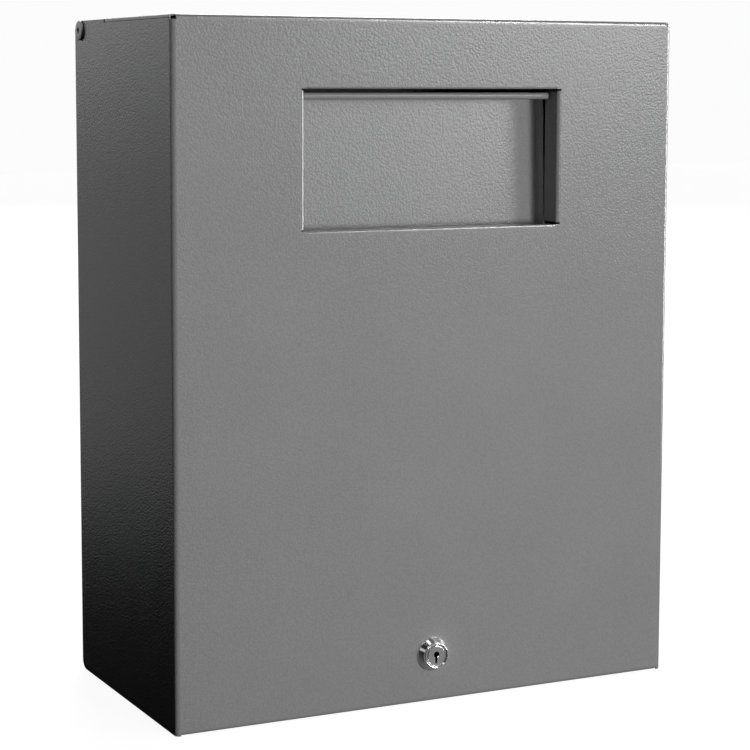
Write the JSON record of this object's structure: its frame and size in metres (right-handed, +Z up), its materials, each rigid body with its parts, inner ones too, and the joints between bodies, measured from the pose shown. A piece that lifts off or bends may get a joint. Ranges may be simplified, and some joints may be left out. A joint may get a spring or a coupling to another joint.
{
  "type": "book drop box",
  "caption": "Wall-mounted sheet steel book drop box: inward-swinging deposit flap, cover that lifts on rear pivots to empty it, and a cam lock.",
  "frame": {"origin": "middle of the whole outline, lock collar included, on the plane the box stands on", "axes": "+Z up, front of the box faces -Y, +X to the right seen from the front"},
  "size_m": [0.3718, 0.191, 0.4572],
  "materials": {
    "powder_coat": "fine-textured semi-gloss grey powder coat",
    "lock_chrome": "polished chrome plate",
    "zinc_steel": "bright zinc plate",
    "pivot_steel": "dull zinc plate",
    "bumper_rubber": "matt black",
    "bush_plastic": "natural acetal"
  },
  "bodies": {
    "back_box": {"back_pan": "powder_coat", "floor_tray": "powder_coat", "tray_rivets": "zinc_steel", "cover_bumpers": "bumper_rubber", "pivot_screws": "pivot_steel", "pivot_washers": "zinc_steel", "pivot_nuts": "zinc_steel"},
    "cover": {"cover_shell": "powder_coat", "pivot_doublers": "zinc_steel", "pivot_bushes": "bush_plastic", "flap_rod": "zinc_steel", "rod_clips": "zinc_steel", "lock_barrel": "lock_chrome", "lock_washer": "zinc_steel", "lock_nut": "zinc_steel"},
    "flap": {"deposit_flap": "powder_coat"},
    "lock_core": {"lock_plug": "lock_chrome", "stop_washer": "zinc_steel", "lock_cam": "zinc_steel", "cam_screw": "zinc_steel"}
  },
  "joints": [
    {"name": "cover_swing", "type": "hinge", "parent": "back_box", "child": "cover", "pos_m": [0, 0.08353, 0.4502], "axis": [-1, 0, 0], "range_deg": [0, 90]},
    {"name": "flap_swing", "type": "hinge", "parent": "cover", "child": "flap", "pos_m": [0, -0.07533, 0.4067], "axis": [1, 0, 0], "range_deg": [0, 80]},
    {"name": "lock_turn", "type": "hinge", "parent": "cover", "child": "lock_core", "pos_m": [0, -0.08862, 0.0333], "axis": [0, 1, 0], "range_deg": [0, 90]}
  ]
}
